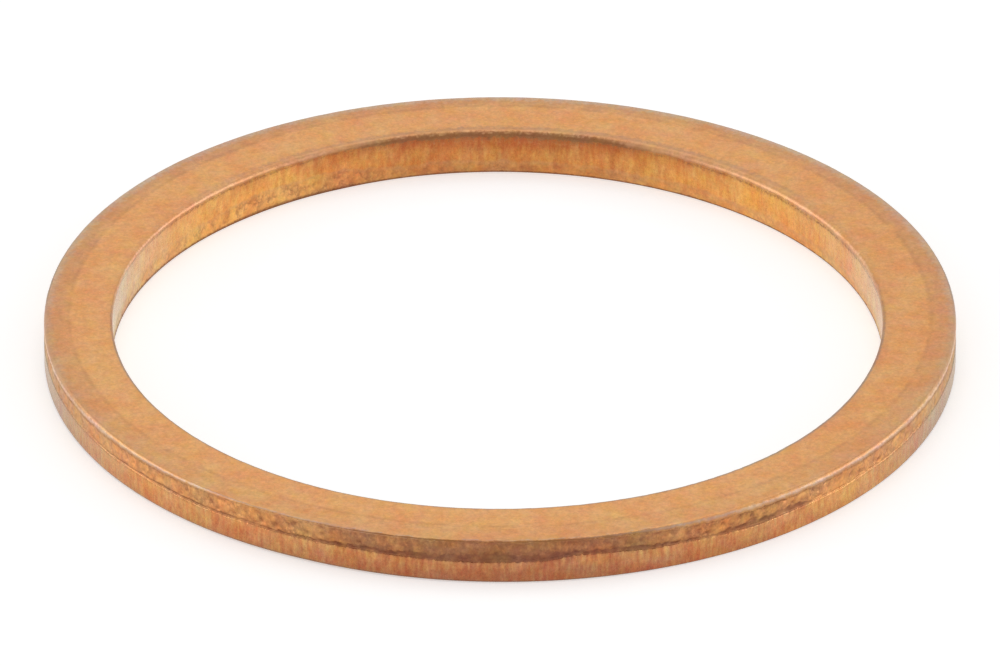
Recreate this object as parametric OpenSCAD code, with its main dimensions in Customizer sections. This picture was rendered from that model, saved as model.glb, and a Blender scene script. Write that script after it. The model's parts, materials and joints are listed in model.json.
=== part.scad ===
// Flat copper sealing ring for the screw plug of an oil drain.
// It is stamped from soft copper strip by two strokes from above. The first stroke pierces
// the bore and the second blanks the rim, so the two sheared walls run opposite ways: the
// bore rolls over at its top edge and breaks out at the bottom, and the rim rolls over at
// its bottom edge and breaks out at the top.
// The origin is the centre of the bottom face, and +Z is the ring's axis.

/* [Ring] */
// Diameter over the burnished band of the rim
outer_d = 28.8; // [27:0.1:34]
// Diameter of the burnished band of the bore, which slips over a 24 mm thread
bore_d = 24.3; // [21:0.1:25.6]
// Thickness of the strip
thickness = 1.5; // [1:0.1:3]

/* [Sheared rim] */
// Share of the thickness that the cut left burnished on the rim, from the bottom up
rim_burnished_share = 0.5; // [0.3:0.05:0.7]
// Radius of the rolled-over edge at the bottom of the rim
rim_roll = 0.11; // [0.05:0.01:0.2]
// Depth of the crease in which the rim's fracture starts
rim_crease_depth = 0.05; // [0.02:0.01:0.1]
// Height over which the burnished band steps down into the crease
rim_crease_rise = 0.06; // [0.03:0.01:0.1]
// Width of the break that tumbling left on the rim's top edge
rim_edge_break = 0.1; // [0.02:0.01:0.14]

/* [Sheared bore] */
// Share of the thickness that the cut left burnished in the bore, with its rolled edge
bore_burnished_share = 0.72; // [0.5:0.02:0.8]
// Radius of the rolled-over edge at the top of the bore
bore_roll = 0.2; // [0.05:0.01:0.25]
// Amount by which the bore's fracture flares out at the bottom face
bore_flare = 0.03; // [0.01:0.01:0.12]
// Width of the break that tumbling left on the bore's bottom edge
bore_edge_break = 0.02; // [0.01:0.01:0.1]

/* [Hidden] */
$fn = 180;

outer_r = outer_d / 2;
bore_r = bore_d / 2;

// Heights of the zones that shearing leaves on the rim, counted from the bottom face
rim_burnished_top = rim_burnished_share * thickness;
rim_crease_z = rim_burnished_top + rim_crease_rise;

// Height at which the bore's burnished band ends and its fracture starts
bore_fracture_top = (1 - bore_burnished_share) * thickness;
bore_mouth_r = bore_r + bore_flare;

copper = [0.87, 0.63, 0.42];

// Waste at a square corner that lies at the origin, outside a round of radius r.
// The pair of signs in inward points from the corner into the metal.
module rolled_edge_waste(r, inward) {
    difference() {
        square(2 * r, center = true);
        translate(r * inward)
            circle(r);
    }
}

// Section to one side of the axis: radius along X and height along Y
module ring_section() {
    difference() {
        polygon([
            [bore_mouth_r + bore_edge_break, 0],
            [outer_r, 0],
            [outer_r, rim_burnished_top],
            [outer_r - rim_crease_depth, rim_crease_z],
            [outer_r, thickness - rim_edge_break],
            [outer_r - rim_edge_break, thickness],
            [bore_r, thickness],
            [bore_r, bore_fracture_top],
            [bore_mouth_r, bore_edge_break],
        ]);
        translate([outer_r, 0])
            rolled_edge_waste(rim_roll, [-1, 1]);
        translate([bore_r, thickness])
            rolled_edge_waste(bore_roll, [1, -1]);
    }
}

module sealing_ring() {
    color(copper)
        rotate_extrude()
            ring_section();
}

sealing_ring();
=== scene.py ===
"""Looks of a drain plug washer: one flat copper ring, stamped from strip, lying on a pale floor.

The ring is one closed mesh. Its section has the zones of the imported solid, and each column of
the mesh places them a little differently, with the marks that shearing left on the two walls.
Azimuths are in degrees and count from the front, which is -Y, towards +X. Lengths are in metres,
or in millimetres where a comment or a name says so.
"""

import json
import math

import bpy
import numpy as np
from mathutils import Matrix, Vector


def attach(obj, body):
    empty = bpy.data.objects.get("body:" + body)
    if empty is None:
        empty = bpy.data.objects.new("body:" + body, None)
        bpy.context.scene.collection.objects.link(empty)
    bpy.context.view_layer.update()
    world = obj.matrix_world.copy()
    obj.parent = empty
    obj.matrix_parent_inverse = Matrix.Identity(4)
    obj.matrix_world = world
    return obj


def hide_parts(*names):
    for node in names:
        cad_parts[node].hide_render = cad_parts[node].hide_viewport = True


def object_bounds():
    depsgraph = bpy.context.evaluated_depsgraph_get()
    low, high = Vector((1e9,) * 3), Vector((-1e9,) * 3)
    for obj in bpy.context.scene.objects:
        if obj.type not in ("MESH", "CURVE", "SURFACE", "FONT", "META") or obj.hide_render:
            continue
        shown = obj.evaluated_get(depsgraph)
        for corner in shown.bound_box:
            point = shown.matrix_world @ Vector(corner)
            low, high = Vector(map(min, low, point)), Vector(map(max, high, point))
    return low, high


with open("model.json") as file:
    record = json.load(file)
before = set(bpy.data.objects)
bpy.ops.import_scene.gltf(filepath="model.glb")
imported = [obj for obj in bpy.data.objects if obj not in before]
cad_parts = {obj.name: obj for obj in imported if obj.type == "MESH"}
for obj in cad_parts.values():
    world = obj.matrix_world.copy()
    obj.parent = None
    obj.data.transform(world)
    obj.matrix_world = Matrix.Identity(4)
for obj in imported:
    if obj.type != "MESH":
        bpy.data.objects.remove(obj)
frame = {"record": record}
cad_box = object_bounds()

MM = 0.001
NODE = "sealing_ring"

# The camera looks from the front at a point on the axis
CAMERA_ELEVATION = math.radians(29.25)
CAMERA_DISTANCE = 0.789
CAMERA_LENS = 899.4
CAMERA_ROLL = math.radians(0.068)
CAMERA_AIM = Vector((0.0, 0.0, 0.858)) * MM

# Sizes of the sheared section
RIM_CREASE_DEPTH = 0.05 * MM
RIM_STEP_RISE = 0.03 * MM
RIM_EDGE_BREAK = 0.05 * MM
BORE_EDGE_BREAK = 0.02 * MM
# How much wider the rim's broken edge gets with its height
RIM_EDGE_SPREAD = 0.4

# The teeth in which the metal tore along the rim: spacing and seed, and their height in millimetres
LARGE_TEETH = (0.27 * MM, 11)
SMALL_TEETH = (0.14 * MM, 12)
TOOTH_HEIGHT = 0.04
# Torn metal: sizes of its lumps, grain and pits, and how far a pit reaches, as a share of its size
LUMP_SIZE = 0.24 * MM
GRAIN_SIZE = 0.13 * MM
PIT_SIZE = 0.42 * MM
PIT_REACH = 0.42
# How deeply the walls are cut, and how far the rim's torn metal swells out between its pits
RIM_PIT_DEPTH = 0.09 * MM
BORE_PIT_DEPTH = 0.05 * MM
RIM_TORN_SWELL = 0.015 * MM
CREASE_PIT_DEPTH = 0.015 * MM
SCORE_DEPTH = 0.007 * MM
# Height in millimetres from which the crease counts as open
OPEN_GAPE = 0.2
# How dark the two rows of the step below the crease are, and what is added where the rim is smooth
STEP_SHADE = (0.5, 0.9)
SMOOTH_STEP_SHADE = (0.4, 0.1)

# The stroke that pierced the bore landed a little to the left and front of the rim's centre
BORE_SHIFT = (-0.08 * MM, -0.11 * MM)

# Radius of the rolled edge at the bottom of the rim, and at the top of the bore, in millimetres
RIM_ROLL = [
    (-60, 0.10), (-40, 0.13), (-25, 0.19), (-8, 0.14), (0, 0.12), (20, 0.08), (32, 0.05),
    (60, 0.05), (80, 0.09), (110, 0.11), (240, 0.11),
]
BORE_ROLL = [
    (0, 0.12), (16, 0.13), (30, 0.18), (42, 0.20), (55, 0.18), (72, 0.12), (96, 0.13), (112, 0.18),
    (125, 0.21), (142, 0.20), (155, 0.19), (172, 0.18), (205, 0.17), (222, 0.18), (236, 0.15),
    (250, 0.11), (262, 0.09), (300, 0.10),
]
# Height of the break along the rim's top edge, in millimetres
RIM_EDGE_DROP = [
    (-84, 0.21), (-75, 0.21), (-60, 0.18), (-45, 0.14), (-32, 0.07), (-15, 0.03), (0, 0.03),
    (9, 0.04), (16, 0.09), (24, 0.15), (32, 0.20), (45, 0.19), (60, 0.17), (75, 0.20), (84, 0.20),
    (110, 0.09), (250, 0.09),
]
# How far up the burnished land of the rim reaches, as a share of the thickness
RIM_LAND_TOP = [
    (-60, 0.50), (-30, 0.53), (-18, 0.53), (-8, 0.49), (0, 0.47), (6, 0.48), (9, 0.57), (15, 0.57),
    (18, 0.53), (24, 0.50), (30, 0.48), (42, 0.48), (60, 0.50), (110, 0.46), (160, 0.54),
    (230, 0.49),
]
# Height of the crease above it, in millimetres
RIM_CREASE_GAPE = [
    (-90, 0.02), (-72, 0.02), (-60, 0.06), (-48, 0.09), (-30, 0.08), (-22, 0.09), (-12, 0.16),
    (-8, 0.25), (-4, 0.29), (0, 0.27), (6, 0.23), (9, 0.13), (15, 0.12), (17, 0.14), (20, 0.11),
    (23, 0.08), (28, 0.07), (30, 0.15), (34, 0.19), (41, 0.16), (43, 0.05), (58, 0.05), (72, 0.02),
    (90, 0.02), (100, 0.15), (115, 0.22), (140, 0.06), (165, 0.24), (190, 0.10), (215, 0.20),
    (240, 0.06), (265, 0.16),
]
# How far up the bore's fracture reaches, as a share of the thickness
BORE_FRACTURE_TOP = [
    (0, 0.30), (60, 0.24), (120, 0.17), (160, 0.18), (198, 0.22), (204, 0.40), (220, 0.40),
    (226, 0.31), (240, 0.30), (300, 0.26),
]
# How far the bore's fracture flares out at the bottom, in millimetres
BORE_FLARE = [
    (0, 0.03), (180, 0.03), (194, 0.01), (204, -0.03), (224, -0.03), (238, 0.0), (260, 0.02),
]
# How deeply the fractures are pitted, from 0 to 1
RIM_PITTING = [
    (-60, 0.5), (-48, 0.6), (-26, 0.9), (-14, 0.4), (0, 0.3), (20, 0.5), (30, 1.0), (42, 0.9),
    (48, 0.5), (57, 0.8), (64, 0.5), (180, 0.7),
]
BORE_PITTING = [(0, 0.6), (120, 0.3), (160, 0.4), (198, 0.6), (203, 1.0), (222, 1.0), (240, 0.6)]
# How ragged the rim's edges and the land's border are, from 0 to 1
RIM_RAGGED = [(-60, 0.1), (-40, 0.4), (-20, 1.0), (20, 1.0), (42, 0.5), (60, 0.1), (300, 0.1)]
# How strongly a painted pale reflection covers the flanks of the walls, from 0 to 1
RIM_PALE_REFLECTION = [
    (-90, 0.7), (-72, 0.5), (-50, 0.0), (50, 0.0), (72, 0.55), (90, 0.7), (130, 0.2), (230, 0.2),
]
BORE_PALE_REFLECTION = [
    (60, 0.2), (100, 0.45), (116, 0.12), (130, 0.0), (230, 0.0), (246, 0.3), (260, 0.72),
    (300, 0.2),
]
# How brown the walls and the rim's torn metal are, from 0 to 1: partly tarnish, partly painted shade
# facing the front
RIM_TARNISH_AND_SHADE = [
    (-75, 0.0), (-50, 0.15), (-36, 0.35), (-22, 0.6), (-8, 0.95), (6, 1.0), (16, 0.8), (24, 0.65),
    (36, 0.4), (48, 0.2), (62, 0.05), (120, 0.2), (180, 0.4), (240, 0.2),
]
BORE_TARNISH_AND_SHADE = [
    (0, 0.4), (60, 0.2), (110, 0.0), (138, 0.0), (150, 0.3), (162, 0.45), (172, 0.58), (188, 0.6),
    (200, 0.44), (215, 0.12), (235, 0.0), (250, 0.0), (300, 0.2),
]
RIM_TORN_TARNISH_AND_SHADE = [
    (-75, 0.0), (-50, 0.1), (-36, 0.15), (-26, 0.3), (-18, 0.7), (-8, 0.98), (4, 0.98), (14, 0.8),
    (24, 0.5), (36, 0.25), (48, 0.12), (62, 0.0), (120, 0.2), (180, 0.4), (240, 0.2),
]
# How strongly painted shade darkens the top edges, from 0 to 1, mostly at the front and the back
RIM_EDGE_SHADE = [
    (-88, 0.0), (-40, 0.0), (-26, 0.3), (-16, 0.85), (-8, 1.0), (8, 1.0), (15, 0.6), (24, 0.2),
    (36, 0.0), (88, 0.0), (96, 0.9), (264, 0.9),
]
BORE_EDGE_SHADE = [
    (0, 0.9), (66, 0.9), (92, 0.0), (144, 0.0), (151, 0.1), (156, 0.25), (161, 0.7), (166, 1.0),
    (195, 1.0), (200, 0.7), (205, 0.2), (220, 0.0), (268, 0.0), (294, 0.9),
]
# How grey the painted shade on the edges is, from 0 to 1
RIM_EDGE_GREY = [(-92, 1), (-84, 0), (84, 0), (92, 1)]
BORE_EDGE_GREY = [(0, 1), (70, 1), (110, 0), (250, 0), (290, 1)]
# The bright lines on the top edges are painted highlights
# Where the bright line lies: on the rim's edge in degrees round it from the wall, and on the bore's
# rolled edge in degrees round it from the face
RIM_LINE = [
    (-75, 2), (-62, 16), (-45, 27), (-30, 56), (30, 34), (45, 24), (60, 20), (75, 8), (88, 4),
]
BORE_LINE = [(0, 60), (120, 64), (142, 62), (155, 58), (205, 54), (222, 60), (236, 60), (262, 60)]

# A painted highlight on the line, and painted shade in the troughs and on the shoulder
# Bands beside the bright lines: degrees from the line to the middle, degrees of reach, and strength
RIM_HIGHLIGHT = (0, 28, 1.0)
RIM_TROUGH_SHADE = (-40, 26, 0.5)
RIM_SHOULDER_SHADE = (42, 22, 0.3)
BORE_HIGHLIGHT = (0, 32, 1.0)
BORE_TROUGH_SHADE = (44, 34, 0.55)
# Bands of painted shade on the bore's rolled edge, from its own middle
BORE_SHADE_MIDDLE = 76
BORE_SHADED = (0, 40, 1.0)
BORE_FADING_ABOVE = (-40, 40, 0.5)
BORE_FADING_BELOW = (40, 44, 0.4)
# Height of the rim's fracture that counts as one radian of the edge above it
RIM_EDGE_RADIAN = 0.15 * MM
# How strongly each row of the top edges takes painted shade, brown or grey, from the first row on
RIM_EDGE_ROW_SHADE = (1, 1, 0.9, 0.7, 0.5)
BORE_ROLL_ROW_GREY = (0.3, 0.8, 1, 1, 1)
# Marks fainter than this count as none
TRACE = 0.001
# How much of the rim's painted pale reflection its fracture takes
TORN_RIM_PALE_REFLECTION = 0.6

# Columns round the axis, and rows of each zone in the order in which they go round the section
COLUMNS = 1720
ROWS = {
    "lower_face": 3,
    "rim_roll": 4,
    "rim_land": 7,
    "rim_step": 2,
    "rim_crease": 4,
    "rim_fracture": 12,
    "rim_edge": 5,
    "upper_face": 3,
    "bore_roll": 5,
    "bore_land": 7,
    "bore_fracture": 5,
    "bore_edge": 1,
}
# Where rows are uneven: beside a face's edges, so that its shading stays flat, and below the lip
UNEVEN_ROWS = {
    "lower_face": (0, 0.03, 0.97),
    "upper_face": (0, 0.03, 0.97),
    "bore_land": (0, 0.05, 0.12, 0.28, 0.46, 0.64, 0.82),
}
# Zones of burnished and of torn metal
LAND_ZONES = ("rim_roll", "rim_land", "rim_step", "bore_land")
FRACTURES = ("rim_fracture", "bore_fracture")
TORN_ZONES = ("rim_crease", *FRACTURES)

outer_r = (cad_box[1].x - cad_box[0].x) / 2
thickness = cad_box[1].z - cad_box[0].z
bore_mount = next(m for m in frame["record"]["mounts"] if m["name"] == "bore")
bore_r = bore_mount["dims"]["r_mm"] * MM

turn = np.arange(COLUMNS) / COLUMNS
azimuth = 2 * np.pi * turn
girth = 2 * np.pi * outer_r


def by_azimuth(table):
    """A value for each column from a table of azimuths in degrees and values."""
    places, values = zip(*table)
    return np.interp(np.degrees(azimuth), places, values, period=360)


def eased(share):
    """Smooth step from 0 to 1."""
    share = np.clip(share, 0, 1)
    return share * share * (3 - 2 * share)


# Each noise has a seed of its own, so the order of the calls doesn't matter
def round_noise(length, seed):
    """Smooth noise from -1 to 1 for each column, with features of about that length on the rim."""
    count = max(3, round(girth / length))
    knots = np.random.default_rng(seed).uniform(-1, 1, count)
    place = turn * count
    first = np.floor(place).astype(int)
    share = eased(place - first)
    return knots[first % count] * (1 - share) + knots[(first + 1) % count] * share


def teeth(spacing, seed):
    """Sharp teeth of uneven height, from 0 to 1, for each column."""
    rng = np.random.default_rng(seed)
    count = round(girth / spacing)
    half_width = 0.3
    tips = rng.uniform(half_width, 1 - half_width, count)
    heights = rng.uniform(0.15, 1, count)
    place = turn * count
    cell = np.floor(place).astype(int) % count
    off = np.abs(place % 1 - tips[cell])
    return heights[cell] * np.clip(1 - off / half_width, 0, 1)


def wall_noise(length, rise, height, seed):
    """Smooth noise from -1 to 1 over an unrolled wall. height is an array of rows by columns."""
    around = max(3, round(girth / length))
    up = math.ceil(thickness / rise) + 3
    knots = np.random.default_rng(seed).uniform(-1, 1, (up, around))
    place = np.broadcast_to(turn * around, height.shape)
    level = np.clip(height / rise, 0, up - 2)
    column = np.floor(place).astype(int)
    row = np.floor(level).astype(int)
    across = eased(place - column)
    along = eased(level - row)
    left = column % around
    right = (column + 1) % around
    low = knots[row, left] * (1 - across) + knots[row, right] * across
    high = knots[row + 1, left] * (1 - across) + knots[row + 1, right] * across
    return low * (1 - along) + high * along


def cell_distance(size, height, seed):
    """Distance over an unrolled wall to the nearest of scattered points, in cells of that size."""
    rng = np.random.default_rng(seed)
    around = round(girth / size)
    up = math.ceil(thickness / size) + 1
    middle_x = rng.uniform(0, 1, (up, around))
    middle_y = rng.uniform(0, 1, (up, around))
    place = np.broadcast_to(turn * around, height.shape)
    level = height / size
    column = np.floor(place).astype(int)
    row = np.floor(level).astype(int)
    nearest = np.full(height.shape, np.inf)
    for side in (-1, 0, 1):
        for step in (-1, 0, 1):
            beside = (column + side) % around
            tier = np.clip(row + step, 0, up - 1)
            across = column + side + middle_x[tier, beside] - place
            along = row + step + middle_y[tier, beside] - level
            nearest = np.minimum(nearest, np.hypot(across, along))
    return nearest


def torn(height, pitting, seed):
    """Depth of a torn surface from 0 to 1: lumps with creases between them, and round pits."""
    lumps = np.clip(cell_distance(LUMP_SIZE, height, seed), 0, 1)
    grain = np.clip(cell_distance(GRAIN_SIZE, height, seed + 1), 0, 1)
    pits = 1 - eased(cell_distance(PIT_SIZE, height, seed + 2) / PIT_REACH)
    return np.clip(0.35 * lumps + 0.15 * grain + 0.6 * pits * pitting, 0, 1)


def in_rows(values):
    """One value for each row of a zone, in a form that spreads over the columns."""
    return np.array(values)[:, None]


def shares(zone):
    """How far along its zone each row lies, from 0 towards the 1 at which the next zone starts."""
    even = np.arange(ROWS[zone]) / ROWS[zone]
    return in_rows(UNEVEN_ROWS.get(zone, even))


def straight(zone, start, end):
    """Rows of a zone from one (radius, height) towards the next."""
    share = shares(zone)
    return [np.asarray(a) * (1 - share) + np.asarray(b) * share + 0 * turn for a, b in zip(start, end)]


def rounded(zone, middle, size, first_deg, last_deg):
    """Rows of a zone along a quarter round or oval. Degrees count from the outward direction."""
    angle = np.radians(first_deg + (last_deg - first_deg) * shares(zone))
    radius = middle[0] + np.asarray(size[0]) * np.cos(angle)
    height = middle[1] + np.asarray(size[1]) * np.sin(angle)
    return [radius + 0 * turn, height + 0 * turn]


def rim_land_top():
    """Height of the land's upper border: slow waves, and teeth where the metal tore away."""
    jagged = TOOTH_HEIGHT * teeth(*LARGE_TEETH) + TOOTH_HEIGHT * teeth(*SMALL_TEETH) - TOOTH_HEIGHT / 2
    jagged = jagged * by_azimuth(RIM_RAGGED)
    slow = round_noise(1.2 * MM, 13)
    return by_azimuth(RIM_LAND_TOP) * thickness + (jagged + 0.02 * slow) * MM


def rim_crease_gape():
    """Height of the crease, which opens and closes along the rim."""
    ragged = 1 + 0.10 * round_noise(1.1 * MM, 14) + 0.20 * round_noise(0.2 * MM, 15)
    return by_azimuth(RIM_CREASE_GAPE) * MM * np.clip(ragged, 0.3, 2)


def rim_edge_size():
    """Width and height of the broken top edge, which is ragged in places."""
    ragged = by_azimuth(RIM_RAGGED)
    wave = 0.4 * round_noise(0.5 * MM, 17) + 0.6 * round_noise(0.15 * MM, 18)
    width = RIM_EDGE_BREAK * (1 + (0.05 + 0.85 * ragged) * wave)
    depth = by_azimuth(RIM_EDGE_DROP) * MM * (1 + (0.06 + 0.16 * ragged) * round_noise(0.16 * MM, 23))
    return width + RIM_EDGE_SPREAD * depth, depth


def rim_crease_radius():
    """Radius of the crease, which is deeper where the rim is ragged."""
    depth = (0.15 + 0.85 * by_azimuth(RIM_RAGGED)) * (1 + 0.25 * round_noise(0.6 * MM, 16))
    return outer_r - RIM_CREASE_DEPTH * depth


def bore_roll_radius():
    """Radius of the rolled edge at the top of the bore."""
    wave = 1 + 0.04 * round_noise(0.6 * MM, 19) + 0.06 * round_noise(0.2 * MM, 20)
    return by_azimuth(BORE_ROLL) * MM * wave


def bore_fracture_top():
    """Height at which the bore's land ends and its fracture starts."""
    wave = 0.05 * round_noise(0.5 * MM, 21) + 0.04 * round_noise(0.2 * MM, 22)
    return by_azimuth(BORE_FRACTURE_TOP) * thickness + wave * MM


def ring_zones():
    """Radius and height of every row, by zone, in order round the section."""
    land_top = rim_land_top()
    crease_r = rim_crease_radius()
    crease_low = land_top + RIM_STEP_RISE
    crease_high = crease_low + rim_crease_gape()
    edge_in, edge_down = rim_edge_size()
    rim_roll = by_azimuth(RIM_ROLL) * MM
    roll = bore_roll_radius()
    fracture_top = bore_fracture_top()
    mouth_r = bore_r + by_azimuth(BORE_FLARE) * MM
    foot_r = mouth_r + BORE_EDGE_BREAK
    top = thickness
    return {
        "lower_face": straight("lower_face", (foot_r, 0), (outer_r - rim_roll, 0)),
        "rim_roll": rounded("rim_roll", (outer_r - rim_roll, rim_roll), (rim_roll, rim_roll), -90, 0),
        "rim_land": straight("rim_land", (outer_r, rim_roll), (outer_r, land_top)),
        "rim_step": straight("rim_step", (outer_r, land_top), (crease_r, crease_low)),
        "rim_crease": straight("rim_crease", (crease_r, crease_low), (crease_r, crease_high)),
        "rim_fracture": straight("rim_fracture", (crease_r, crease_high), (outer_r, top - edge_down)),
        "rim_edge": rounded("rim_edge", (outer_r - edge_in, top - edge_down), (edge_in, edge_down), 0, 90),
        "upper_face": straight("upper_face", (outer_r - edge_in, top), (bore_r + roll, top)),
        "bore_roll": rounded("bore_roll", (bore_r + roll, top - roll), (roll, roll), 90, 180),
        "bore_land": straight("bore_land", (bore_r, top - roll), (bore_r, fracture_top)),
        "bore_fracture": straight("bore_fracture", (bore_r, fracture_top), (mouth_r, BORE_EDGE_BREAK)),
        "bore_edge": straight("bore_edge", (mouth_r, BORE_EDGE_BREAK), (foot_r, 0)),
    }


def blank(zones):
    """A value of 0 at every point, by zone."""
    return {name: np.zeros(radius.shape) for name, (radius, _) in zones.items()}


def cut_rim(zones, hollow):
    """Pits the rim's torn metal and crease, scores its land, and sets painted shade in what lies deep."""
    radius, height = zones["rim_fracture"]
    share = shares("rim_fracture")
    depth = torn(height, by_azimuth(RIM_PITTING), 31)
    # Pits fade out just below the top edge, and shade from the open crease reaches up between them
    fade = eased((1 - share) * 6)
    zones["rim_fracture"][0] = np.minimum(radius - RIM_PIT_DEPTH * depth * fade + RIM_TORN_SWELL, outer_r)
    gape = by_azimuth(RIM_CREASE_GAPE) / OPEN_GAPE
    shade = np.clip(gape, 0.1, 0.85) * (1 - eased(share * 4.5))
    shade = shade * (0.7 + 0.8 * wall_noise(0.12 * MM, 0.06 * MM, height, 34))
    hollow["rim_fracture"] = np.clip(np.maximum(depth * fade, shade), 0, 1)

    radius, height = zones["rim_crease"]
    mottled = wall_noise(0.15 * MM, 0.1 * MM, height, 35)
    zones["rim_crease"][0] = radius - CREASE_PIT_DEPTH * (1 + mottled)
    open_share = np.clip(0.1 + 1.8 * gape, 0, 1)
    hollow["rim_crease"] = open_share * (0.9 + 0.2 * mottled)
    step = in_rows(STEP_SHADE) + in_rows(SMOOTH_STEP_SHADE) * (1 - by_azimuth(RIM_RAGGED))
    hollow["rim_step"] = step * np.clip(open_share, 0.8, 1)

    radius, height = zones["rim_land"]
    scored = 0.5 + 0.5 * wall_noise(0.16 * MM, 0.7 * MM, height, 36)
    zones["rim_land"][0] = radius - SCORE_DEPTH * scored
    hollow["rim_land"] = 0.2 * scored
    hollow["rim_land"][-1] += 0.25 * open_share


def cut_bore(zones, hollow):
    """Scores the bore's land and pits its torn metal."""
    radius, height = zones["bore_land"]
    scored = 0.5 + 0.5 * wall_noise(0.18 * MM, 1.0 * MM, height, 37)
    zones["bore_land"][0] = radius + SCORE_DEPTH * scored
    hollow["bore_land"] = 0.2 * scored

    radius, height = zones["bore_fracture"]
    depth = torn(height, by_azimuth(BORE_PITTING), 38)
    zones["bore_fracture"][0] = radius + BORE_PIT_DEPTH * depth * eased(shares("bore_fracture") * 4)
    hollow["bore_fracture"] = 0.8 * depth


def cut_marks(zones):
    """Cuts the marks of shearing into the walls. Returns how hollow each zone is, from 0 to 1, for painted
    shade.
    """
    hollow = blank(zones)
    cut_rim(zones, hollow)
    cut_bore(zones, hollow)
    return hollow


def tarnish_and_shade_of(zones):
    """How brown each zone is, from 0 to 1: partly tarnish, partly painted shade."""
    brown = {}
    for name, (radius, height) in zones.items():
        patches = 0.12 * wall_noise(0.8 * MM, 0.6 * MM, height, 41)
        patches = patches + 0.14 * wall_noise(0.2 * MM, 0.4 * MM, height, 42)
        if name in ("upper_face", "lower_face"):
            brown[name] = np.zeros(radius.shape)
        elif name == "rim_fracture":
            brown[name] = by_azimuth(RIM_TORN_TARNISH_AND_SHADE) + patches
        elif name.startswith("rim"):
            brown[name] = by_azimuth(RIM_TARNISH_AND_SHADE) + patches
        else:
            # Painted shade: the bore is browner towards its top
            upper = eased((height / thickness - 0.45) / 0.45)
            lower_brown = by_azimuth(BORE_TARNISH_AND_SHADE)
            brown[name] = lower_brown + (0.05 + 0.9 * lower_brown) * upper + patches

    # Painted highlight on the tips of the land's teeth and on the step, and painted shade towards the
    # land's foot
    tips = 0.5 * teeth(*LARGE_TEETH) * by_azimuth(RIM_RAGGED)
    share = shares("rim_land")
    brown["rim_land"] = brown["rim_land"] + 0.35 * (0.45 - share) - tips * eased((share - 0.4) / 0.4)
    brown["rim_step"] = brown["rim_step"] - 0.2 - tips
    return {name: np.clip(values, 0, 1) for name, values in brown.items()}


def near(place, middle, reach):
    """1 at the middle, falling to 0 at that reach on both sides."""
    return np.clip(1 - np.abs(place - middle) / reach, 0, 1)


def band(place, line, form):
    """Strength of a band beside a line. form is its offset and reach in degrees, and its strength."""
    offset, reach, strength = form
    return strength * near(place, line + offset, reach)


def mark_rim_edge(zones, highlight, edge_shade):
    """A painted highlight line on the rim's broken edge, painted shade above and below it, and along the
    edge.
    """
    shade_strength = np.clip(by_azimuth(RIM_EDGE_SHADE) * (1 + 0.3 * round_noise(0.2 * MM, 43)), 0, 1)
    clean = 1 - shade_strength
    line = by_azimuth(RIM_LINE) + 5 * round_noise(0.12 * MM, 47)
    edge_foot = zones["rim_edge"][1][0]
    below = np.degrees((zones["rim_fracture"][1] - edge_foot) / RIM_EDGE_RADIAN)
    for name, place in (("rim_edge", 90 * shares("rim_edge")), ("rim_fracture", below)):
        highlight[name] = band(place, line, RIM_HIGHLIGHT) * clean
        edge_shade[name] = band(place, line, RIM_TROUGH_SHADE) + band(place, line, RIM_SHOULDER_SHADE) * clean
    edge_shade["rim_edge"] = np.maximum(edge_shade["rim_edge"], shade_strength * in_rows(RIM_EDGE_ROW_SHADE))

    # Painted glints in flecks on the face beside the shaded edge, and painted shade on the roll at the
    # bottom
    flecks = np.clip(0.4 + 1.4 * round_noise(0.14 * MM, 45), 0, 1) * by_azimuth(RIM_RAGGED)
    highlight["upper_face"][0] = flecks * shade_strength
    edge_shade["rim_roll"] += 0.5 + 0.6 * by_azimuth(RIM_PALE_REFLECTION)


def mark_bore_edge(zones, highlight, edge_shade):
    """The painted highlight line on the bore's rolled edge with painted shade below it, and a band of
    shade elsewhere.
    """
    shade_strength = by_azimuth(BORE_EDGE_SHADE)
    clean = 1 - shade_strength
    line = by_azimuth(BORE_LINE) + 7 * round_noise(0.25 * MM, 44)
    middle = BORE_SHADE_MIDDLE + 9 * round_noise(0.4 * MM, 46) + 9 * round_noise(0.1 * MM, 48)
    strength = shade_strength * (1.4 + 0.3 * round_noise(0.15 * MM, 49))
    lip_top = zones["bore_land"][1][0]
    roll = thickness - lip_top
    down = 90 + np.degrees((lip_top - zones["bore_land"][1]) / roll)
    for name, place in (("bore_roll", 90 * shares("bore_roll")), ("bore_land", down)):
        highlight[name] = band(place, line, BORE_HIGHLIGHT) * clean
        trough = band(place, line, BORE_TROUGH_SHADE) * clean
        shaded_band = np.clip(strength * band(place, middle, BORE_SHADED), 0, 1)
        above = band(place, BORE_SHADE_MIDDLE, BORE_FADING_ABOVE)
        fading = shade_strength * (above + band(place, middle, BORE_FADING_BELOW))
        edge_shade[name] = np.maximum(trough, np.maximum(shaded_band, fading))
    # Painted grey shade on the front of the rolled edge, and painted shade at the bore's foot and bottom
    # edge
    facing_away = by_azimuth(BORE_EDGE_GREY) * in_rows(BORE_ROLL_ROW_GREY)
    edge_shade["bore_roll"] = np.maximum(edge_shade["bore_roll"], facing_away)
    edge_shade["bore_fracture"][-1] = 0.12 + 0.3 * by_azimuth(BORE_PALE_REFLECTION)
    edge_shade["bore_edge"] += 0.9


def edge_marks(zones):
    """How much each zone is a painted highlight line, and how much an edge with painted shade, from 0 to
    1.

    Places are in degrees round the edge: on the rim up from its foot, and in the bore down from
    the face. They count on along the wall.
    """
    highlight = blank(zones)
    edge_shade = blank(zones)
    mark_rim_edge(zones, highlight, edge_shade)
    mark_bore_edge(zones, highlight, edge_shade)
    return highlight, edge_shade


def of_side(zone, rim_table, bore_table):
    """A value for each column from the table for the zone's side of the ring."""
    return by_azimuth(bore_table if zone.startswith("bore") else rim_table)


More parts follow.
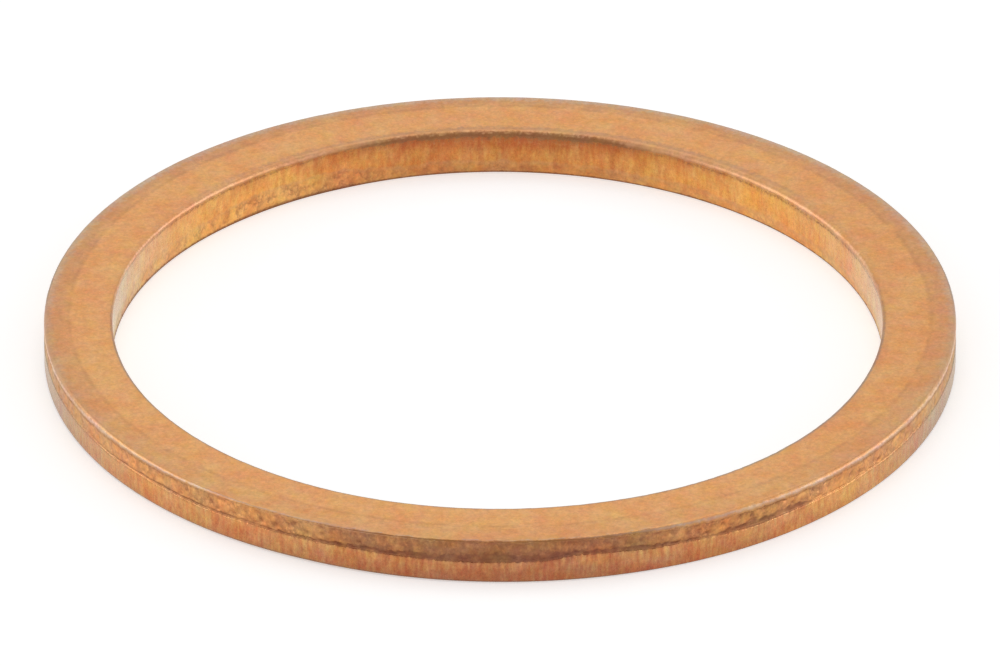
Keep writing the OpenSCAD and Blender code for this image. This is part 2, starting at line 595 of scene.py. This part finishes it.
def ring_masks(zones, hollow):
    """Values from 0 to 1 at every point that the material reads, by name."""
    brown = tarnish_and_shade_of(zones)
    highlight, edge_shade = edge_marks(zones)
    rows = {}
    for name, (radius, _) in zones.items():
        edge = np.clip(highlight[name] + edge_shade[name], TRACE, 1)
        pale_share = TORN_RIM_PALE_REFLECTION if name == "rim_fracture" else 1
        masks = {
            "land": name in LAND_ZONES,
            "torn": name in TORN_ZONES,
            "edge": edge * (edge > TRACE),
            "edge_shade": np.clip(edge_shade[name] / edge, 0, 1),
            "grey": of_side(name, RIM_EDGE_GREY, BORE_EDGE_GREY),
            "bore": name.startswith("bore"),
            "hollow": hollow[name],
            "brown": brown[name],
            "pale": pale_share * of_side(name, RIM_PALE_REFLECTION, BORE_PALE_REFLECTION),
            "scaly": of_side(name, RIM_PITTING, BORE_PITTING) * (name in FRACTURES),
        }
        for mask, values in masks.items():
            rows.setdefault(mask, []).append(values * np.ones(radius.shape))
    return {mask: np.concatenate(values) for mask, values in rows.items()}


def bore_weights():
    """How much each row follows the bore's shift: 0 on the rim, 1 in the bore, between on the faces."""
    weights = []
    for name in ROWS:
        share = shares(name)
        if name == "lower_face":
            weights.append(1 - share)
        elif name == "upper_face":
            weights.append(share)
        else:
            weights.append(np.ones(share.shape) * name.startswith("bore"))
    return np.concatenate(weights)


def build_ring():
    """The washer's own mesh, closed round the section and round the axis."""
    zones = ring_zones()
    hollow = cut_marks(zones)
    masks = ring_masks(zones, hollow)
    radius = np.concatenate([zone[0] for zone in zones.values()])
    height = np.concatenate([zone[1] for zone in zones.values()])
    weight = bore_weights()
    x = radius * np.sin(azimuth) + weight * BORE_SHIFT[0]
    y = -radius * np.cos(azimuth) + weight * BORE_SHIFT[1]
    points = np.stack([x, y, height], axis=-1)

    rows = len(radius)
    corner = np.arange(rows * COLUMNS).reshape(rows, COLUMNS)
    above = np.roll(corner, -1, axis=0)
    faces = np.stack([corner, np.roll(corner, -1, axis=1), np.roll(above, -1, axis=1), above], axis=-1)

    mesh = bpy.data.meshes.new("washer")
    mesh.from_pydata(points.reshape(-1, 3).tolist(), [], faces.reshape(-1, 4).tolist())
    mesh.shade_smooth()
    for name, values in masks.items():
        attribute = mesh.attributes.new(name, "FLOAT", "POINT")
        attribute.data.foreach_set("value", values.astype(np.float32).ravel())
    ring = bpy.data.objects.new("washer", mesh)
    bpy.context.scene.collection.objects.link(ring)
    return ring


class Nodes:
    """Short calls that add nodes to one material or world."""

    def __init__(self, owner):
        owner.use_nodes = True
        self.tree = owner.node_tree
        self.tree.nodes.clear()

    def join(self, value, socket):
        """Links or sets a socket. A colour may be given as three numbers."""
        if isinstance(value, bpy.types.NodeSocket):
            self.tree.links.new(value, socket)
        elif socket.type == "RGBA" and len(value) == 3:
            socket.default_value = (*value, 1.0)
        else:
            socket.default_value = value

    def add(self, kind, inputs=None, **settings):
        """A node with its settings, and its inputs by name or number."""
        node = self.tree.nodes.new("ShaderNode" + kind)
        for name, value in settings.items():
            setattr(node, name, value)
        for name, value in (inputs or {}).items():
            self.join(value, node.inputs[name])
        return node

    def math(self, operation, first, second=0.0, third=0.0, clamp=False):
        inputs = {0: first, 1: second, 2: third}
        return self.add("Math", inputs, operation=operation, use_clamp=clamp).outputs[0]

    def plus(self, base, value, factor, clamp=False):
        """base with value times factor added."""
        return self.math("MULTIPLY_ADD", value, factor, base, clamp)

    def product(self, *values):
        result = values[0]
        for value in values[1:]:
            result = self.math("MULTIPLY", result, value)
        return result

    def spread(self, value, low, high, to_low=0.0, to_high=1.0):
        """value mapped from low..high to to_low..to_high, and held there beyond them."""
        inputs = {"Value": value, "From Min": low, "From Max": high, "To Min": to_low, "To Max": to_high}
        return self.add("MapRange", inputs).outputs["Result"]

    def between(self, share, first, second):
        """Number that goes from first to second with share."""
        return self.spread(share, 0.0, 1.0, first, second)

    def mixed(self, share, first, second):
        """Colour that goes from first to second with share."""
        return self.add("Mix", {0: share, 6: first, 7: second}, data_type="RGBA").outputs[2]

    def vector(self, x, y, z):
        return self.add("CombineXYZ", {0: x, 1: y, 2: z}).outputs[0]

    def combined(self, operation, first, second):
        """Vector worked out from two vectors."""
        return self.add("VectorMath", {0: first, 1: second}, operation=operation).outputs[0]

    def scaled(self, vector, factor):
        return self.add("VectorMath", {0: vector, "Scale": factor}, operation="SCALE").outputs[0]

    def length(self, vector):
        return self.add("VectorMath", {0: vector}, operation="LENGTH").outputs["Value"]

    def noise(self, vector, name):
        """The noise of that name, from 0 to 1."""
        scale, detail, roughness = NOISES[name]
        inputs = {"Vector": vector, "Scale": scale, "Detail": detail, "Roughness": roughness}
        return self.add("TexNoise", inputs).outputs["Fac"]

    def swing(self, vector, name):
        """The noise of that name about 0."""
        return self.math("SUBTRACT", self.noise(vector, name), 0.5)

    def mask(self, name):
        """A value that the mesh holds at its points."""
        return self.add("Attribute", attribute_name=name).outputs["Fac"]


# Linear colours of the copper: the face's zones, and clean and browned metal elsewhere
FACE_INSIDE = (0.665, 0.328, 0.122)
FACE_OUTSIDE = (0.560, 0.276, 0.118)
FACE_LINE = (0.36, 0.165, 0.075)
FACE_FRONT_MARGIN = (0.52, 0.30, 0.155)
FACE_BACK_MARGIN = (0.52, 0.35, 0.24)
FACE_BORE_MARGIN = (0.52, 0.27, 0.125)
FACE_RIGHT = (0.58, 0.24, 0.080)
# The brown ends are partly tarnish and partly painted shade
RIM_CLEAN = (0.69, 0.335, 0.120)
RIM_BROWN = (0.41, 0.155, 0.073)
BORE_CLEAN = (0.79, 0.385, 0.110)
BORE_BROWN = (0.44, 0.135, 0.042)
TORN_RIM_CLEAN = (0.74, 0.365, 0.135)
TORN_RIM_BROWN = (0.34, 0.152, 0.071)
TORN_BORE_CLEAN = (0.80, 0.43, 0.145)
TORN_BORE_BROWN = (0.48, 0.18, 0.062)
# Painted highlight colours of the lines on the top edges
RIM_EDGE_HIGHLIGHT = (0.49, 0.315, 0.215)
BORE_EDGE_HIGHLIGHT = (0.58, 0.30, 0.150)
PALE_EDGE_HIGHLIGHT = (0.95, 0.62, 0.40)
# Colours of the painted shade on the edges
EDGE_BROWN = (0.27, 0.120, 0.050)
EDGE_GREY = (0.35, 0.245, 0.165)
# Colours of the painted pale reflection on the flanks of the walls
RIM_PALE_REFLECTION_COLOUR = (0.35, 0.30, 0.215)
BORE_PALE_REFLECTION_COLOUR = (0.62, 0.53, 0.38)
# Colour of the painted shade in hollows and cracks
SHADE_IN_HOLLOWS = (0.20, 0.075, 0.045)

# The copper's noises: features per millimetre, detail and roughness
NOISES = {
    "fine": (11.0, 3.0, 0.7),
    "middling": (4.0, 2.0, 0.6),
    "hue": (0.9, 5.0, 0.75),
    "blue": (1.3, 4.0, 0.7),
    "patches": (1.1, 3.0, 0.65),
    "rough": (6.0, 2.0, 0.6),
    "scoring": (8.0, 3.0, 0.7),
    "mottle": (5.0, 3.0, 0.65),
    "lifted": (2.6, 1.0, 0.5),
}
# How much the height counts in the noise: little on the lands, which are scored upwards
SCORING_RISE = 0.22
TORN_RISE = 0.8

# Parts of the face, in millimetres: a line round it where its finish changes, and its margins at the edges
LINE_RADIUS = 13.62
LINE_SHIFT = (0.0, 0.15, 0.0)
LINE_SIDES = (0.02, 0.11)
LINE_STRENGTH = 0.28
OUTSIDE = (LINE_RADIUS - 0.10, LINE_RADIUS + 0.22)
RIM_MARGIN = (14.05, 14.3)
BORE_MARGIN = (12.44, 12.30)
# How strong they are: from one place to another, to the right or to the back, and the two strengths
RIGHT_BY_X = (6.0, 14.0, 0.0, 0.3)
OUTSIDE_BY_Y = (-12.0, 4.0, 0.35, 1.0)
RIM_MARGIN_BY_Y = (-12.0, -3.0, 0.1, 1.0)
BACK_MARGIN_BY_Y = (-2.0, 8.0, 0.0, 1.0)
BORE_MARGIN_BY_Y = (5.0, 10.5, 0.25, 1.0)

# How strongly streaks brown the lands and patches brown torn metal: on the rim, and in the bore
LAND_STREAKS = (-0.9, -0.7)
TORN_PATCHES = (1.5, 1.1)
# How strongly streaks tint the lands: on the rim, and in the bore
LAND_TINT = (0.75, 0.4)
# Scales of torn metal: how many there are in a millimetre, how bent, and how wide and dark cracks are
SCALES = 4.0
SCALE_BEND = 0.5
CRACK_WIDTH = 0.22
CRACK_SHADE = 0.4
# How dark the painted shade in hollows is, how strongly grain breaks up the edges, and how light and dark
# it is
HOLLOW_SHADE = 0.75
EDGE_BREAKS = 1.8
FINE_LIGHT = 0.68
MIDDLING_LIGHT = 0.28

# Roughness of the faces, and what the lands and torn metal add to it
FACE_ROUGHNESS = (0.40, 0.48)
LAND_ROUGHNESS = -0.16
TORN_ROUGHNESS = 0.08
# Relief: its depth, and how much its parts count beside the fine grain
RELIEF_DEPTH = 0.008 * MM
RELIEF_STRENGTH = 0.8
SCORING_RELIEF = 2.5
TORN_RELIEF = 3.0
CRACK_RELIEF = -1.5


class CopperNodes(Nodes):
    """The copper's nodes, with the places in millimetres, the masks and the noises that they share."""

    def __init__(self, material):
        super().__init__(material)
        self.in_mm = self.scaled(self.add("TexCoord").outputs["Object"], 1 / MM)
        self.x, self.y, z = self.add("SeparateXYZ", {0: self.in_mm}).outputs
        self.land = self.mask("land")
        self.torn = self.mask("torn")
        self.bore = self.mask("bore")
        self.brown = self.mask("brown")
        self.pale = self.mask("pale")
        self.walls = self.math("ADD", self.land, self.torn, clamp=True)
        self.fine = self.noise(self.in_mm, "fine")
        self.fine_swing = self.math("SUBTRACT", self.fine, 0.5)
        self.hue = self.swing(self.in_mm, "hue")
        self.scoring = self.swing(self.vector(self.x, self.y, self.product(z, SCORING_RISE)), "scoring")
        self.torn_place = self.vector(self.x, self.y, self.product(z, TORN_RISE))
        self.mottle = self.swing(self.torn_place, "mottle")


def face_colour(n):
    """The upper and lower face: warm inside the line, and duller outside it and at its edges."""
    patches = n.swing(n.in_mm, "patches")
    rough = n.swing(n.in_mm, "rough")
    flat = n.vector(n.x, n.y, 0.0)
    from_line_centre = n.length(n.combined("SUBTRACT", flat, LINE_SHIFT))

    colour = n.mixed(n.spread(n.x, *RIGHT_BY_X), FACE_INSIDE, FACE_RIGHT)
    outside = n.spread(n.plus(from_line_centre, patches, 0.8), *OUTSIDE)
    less_in_front = n.spread(n.y, *OUTSIDE_BY_Y)
    colour = n.mixed(n.product(outside, less_in_front), colour, FACE_OUTSIDE)
    uneven = n.plus(from_line_centre, rough, 0.15)
    off_line = n.math("ABSOLUTE", n.math("SUBTRACT", uneven, LINE_RADIUS))
    line = n.product(n.spread(off_line, *LINE_SIDES, LINE_STRENGTH, 0.0), n.spread(patches, -0.25, 0.05))
    colour = n.mixed(line, colour, FACE_LINE)

    uneven_radius = n.plus(n.length(flat), rough, 0.5)
    rim_margin = n.product(n.spread(uneven_radius, *RIM_MARGIN), n.spread(n.y, *RIM_MARGIN_BY_Y))
    margin_colour = n.mixed(n.spread(n.y, *BACK_MARGIN_BY_Y), FACE_FRONT_MARGIN, FACE_BACK_MARGIN)
    colour = n.mixed(rim_margin, colour, margin_colour)
    front_and_back = n.spread(n.math("ABSOLUTE", n.y), *BORE_MARGIN_BY_Y)
    bore_margin = n.product(n.spread(uneven_radius, *BORE_MARGIN), front_and_back)
    return n.mixed(bore_margin, colour, FACE_BORE_MARGIN)


def land_colour(n):
    """Burnished metal, browned in upright streaks."""
    brown = n.plus(n.brown, n.scoring, n.between(n.bore, *LAND_STREAKS), clamp=True)
    clean = n.mixed(n.bore, RIM_CLEAN, BORE_CLEAN)
    return n.mixed(brown, clean, n.mixed(n.bore, RIM_BROWN, BORE_BROWN))


def torn_colour(n):
    """Torn metal, browned in patches."""
    brown = n.plus(n.brown, n.mottle, n.between(n.bore, *TORN_PATCHES), clamp=True)
    clean = n.mixed(n.bore, TORN_RIM_CLEAN, TORN_BORE_CLEAN)
    return n.mixed(brown, clean, n.mixed(n.bore, TORN_RIM_BROWN, TORN_BORE_BROWN))


def cracks(n):
    """Where cracks run between the scales of torn metal, from 0 to 1."""
    bend = n.scaled(n.vector(n.mottle, n.hue, n.scoring), SCALE_BEND)
    bent = n.combined("ADD", bend, n.torn_place)
    flakes = n.add("TexVoronoi", {"Vector": bent, "Scale": SCALES}, feature="DISTANCE_TO_EDGE")
    beside_crack = n.spread(flakes.outputs["Distance"], 0.0, CRACK_WIDTH, 1.0, 0.0)
    lifted = n.spread(n.noise(n.in_mm, "lifted"), 0.42, 0.56)
    return n.product(beside_crack, n.mask("scaly"), lifted)


def with_edges(n, colour):
    """The colour with painted highlight lines and painted shade on the edges, broken up by fine grain."""
    clean = n.mixed(n.bore, RIM_EDGE_HIGHLIGHT, BORE_EDGE_HIGHLIGHT)
    clean = n.mixed(n.pale, clean, PALE_EDGE_HIGHLIGHT)
    edge_shade = n.mixed(n.mask("grey"), EDGE_BROWN, EDGE_GREY)
    edge = n.mask("edge")
    broken = n.plus(edge, n.fine_swing, EDGE_BREAKS)
    share = n.product(n.spread(broken, 0.15, 0.75), n.spread(edge, 0.0, 0.2))
    return n.mixed(share, colour, n.mixed(n.mask("edge_shade"), clean, edge_shade))


def with_grain(n, colour):
    """The colour with light and dark grain, and tints between pinkish and yellowish."""
    light = n.plus(1.0, n.fine_swing, FINE_LIGHT)
    light = n.plus(light, n.swing(n.in_mm, "middling"), MIDDLING_LIGHT)
    tint = n.plus(1.0, n.hue, n.plus(0.8, n.walls, 0.2))
    tint = n.plus(tint, n.product(n.scoring, n.land), n.between(n.bore, *LAND_TINT))
    blue = n.math("ADD", n.noise(n.in_mm, "blue"), 0.5)
    tinted = n.vector(light, n.product(light, tint), n.product(light, tint, blue))
    return n.combined("MULTIPLY", colour, tinted)


def copper_colour(n, crack):
    """Colour of the copper: the faces, the walls over them, and what lies on the walls."""
    colour = face_colour(n)
    colour = n.mixed(n.land, colour, land_colour(n))
    colour = n.mixed(n.torn, colour, torn_colour(n))
    # A painted pale reflection on the flanks of the walls
    pale_reflection = n.mixed(n.bore, RIM_PALE_REFLECTION_COLOUR, BORE_PALE_REFLECTION_COLOUR)
    colour = n.mixed(n.product(n.pale, n.walls), colour, pale_reflection)
    # Painted shade in the cracks and the hollows
    colour = n.mixed(n.product(crack, CRACK_SHADE), colour, SHADE_IN_HOLLOWS)
    colour = n.mixed(n.spread(n.mask("hollow"), 0.35, 1.0, 0.0, HOLLOW_SHADE), colour, SHADE_IN_HOLLOWS)
    return with_grain(n, with_edges(n, colour))


def copper_relief(n, crack):
    """A satin grain everywhere, scoring on the lands, and lumps and cracks where the metal tore."""
    relief = n.plus(n.fine, n.product(n.scoring, n.land), SCORING_RELIEF)
    relief = n.plus(relief, n.product(n.mottle, n.torn), TORN_RELIEF)
    relief = n.plus(relief, crack, CRACK_RELIEF)
    inputs = {"Height": relief, "Distance": RELIEF_DEPTH, "Strength": RELIEF_STRENGTH}
    return n.add("Bump", inputs).outputs[0]


def copper_material():
    """Dull stamped copper. The mesh's masks say where it is land, torn or brown, and where light is
    painted.
    """
    material = bpy.data.materials.new("stamped_copper")
    n = CopperNodes(material)
    crack = cracks(n)
    roughness = n.spread(n.fine, 0.3, 0.7, *FACE_ROUGHNESS)
    roughness = n.plus(roughness, n.land, LAND_ROUGHNESS)
    roughness = n.plus(roughness, n.torn, TORN_ROUGHNESS)
    inputs = {
        "Base Color": copper_colour(n, crack),
        "Metallic": 1.0,
        "Roughness": roughness,
        "Normal": copper_relief(n, crack),
    }
    surface = n.add("BsdfPrincipled", inputs)
    n.add("OutputMaterial", {"Surface": surface.outputs[0]})
    return material


# The floor, with the light that it adds where it is seen, and the world's light where it isn't seen
FLOOR_SIZE = 6.0
FLOOR_DROP = 0.004 * MM
FLOOR_COLOUR = (0.80, 0.80, 0.80)
FLOOR_LIFT = 0.44
WORLD_FILL = 0.55


def seen_directly(n):
    """1 for rays that show a background: from the camera, off metal or through glass."""
    path = n.add("LightPath").outputs
    shiny = n.math("ADD", path["Is Glossy Ray"], path["Is Transmission Ray"])
    return n.math("ADD", path["Is Camera Ray"], shiny, clamp=True)


def floor_material():
    """Matt and pale from above, and clear from below, so that views from there show the ring."""
    material = bpy.data.materials.new("pale_floor")
    n = Nodes(material)
    matt = n.add("BsdfDiffuse", {"Color": FLOOR_COLOUR})
    lift = n.add("Emission", {"Strength": n.product(seen_directly(n), FLOOR_LIFT)})
    top = n.add("AddShader", {0: matt.outputs[0], 1: lift.outputs[0]})
    clear = n.add("BsdfTransparent")
    under = n.add("NewGeometry").outputs["Backfacing"]
    both = n.add("MixShader", {0: under, 1: top.outputs[0], 2: clear.outputs[0]})
    n.add("OutputMaterial", {"Surface": both.outputs[0]})
    return material


def build_floor():
    """A wide floor just below the ring."""
    half = FLOOR_SIZE / 2
    corners = [(-half, -half), (half, -half), (half, half), (-half, half)]
    mesh = bpy.data.meshes.new("floor")
    mesh.from_pydata([(x, y, -FLOOR_DROP) for x, y in corners], [], [(0, 1, 2, 3)])
    mesh.materials.append(floor_material())
    floor = bpy.data.objects.new("floor", mesh)
    bpy.context.scene.collection.objects.link(floor)


def build_world():
    """White all round where it is seen, and a gentle fill otherwise."""
    world = bpy.data.worlds.new("studio")
    n = Nodes(world)
    strength = n.spread(seen_directly(n), 0.0, 1.0, WORLD_FILL, 1.0)
    white = n.add("Background", {"Color": (1.0, 1.0, 1.0), "Strength": strength})
    n.add("OutputWorld", {"Surface": white.outputs[0]})
    bpy.context.scene.world = world


# Soft lamps: place, width, height, and radiance
LAMPS = {
    "top": ((0.0, 0.15, 0.70), 0.50, 0.50, 1.0),
    "left": ((-0.56, 0.02, 0.14), 0.45, 0.26, 2.2),
    "right": ((0.56, 0.02, 0.14), 0.45, 0.26, 2.2),
}


def build_lamps():
    """Soft boxes that face the ring."""
    for name, (place, width, height, radiance) in LAMPS.items():
        lamp = bpy.data.lights.new(name, "AREA")
        lamp.shape = "RECTANGLE"
        lamp.size = width
        lamp.size_y = height
        lamp.energy = radiance * math.pi * width * height
        holder = bpy.data.objects.new(name, lamp)
        holder.location = place
        holder.rotation_euler = (-Vector(place)).to_track_quat("-Z", "Y").to_euler()
        bpy.context.scene.collection.objects.link(holder)


def build_camera():
    """The photograph's view of the ring."""
    data = bpy.data.cameras.new("camera")
    data.lens = CAMERA_LENS
    data.clip_start = 0.01
    data.clip_end = 10.0
    camera = bpy.data.objects.new("camera", data)
    bpy.context.scene.collection.objects.link(camera)
    back = Vector((0, -math.cos(CAMERA_ELEVATION), math.sin(CAMERA_ELEVATION)))
    camera.location = CAMERA_AIM + back * CAMERA_DISTANCE
    camera.rotation_euler = (math.pi / 2 - CAMERA_ELEVATION, 0, 0)
    camera.rotation_euler.rotate_axis("Z", CAMERA_ROLL)
    bpy.context.scene.camera = camera


build_camera()
build_world()
build_floor()
build_lamps()
bpy.context.scene.view_settings.view_transform = "Standard"

washer = build_ring()
washer.data.materials.append(copper_material())
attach(washer, "root")
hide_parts(NODE)
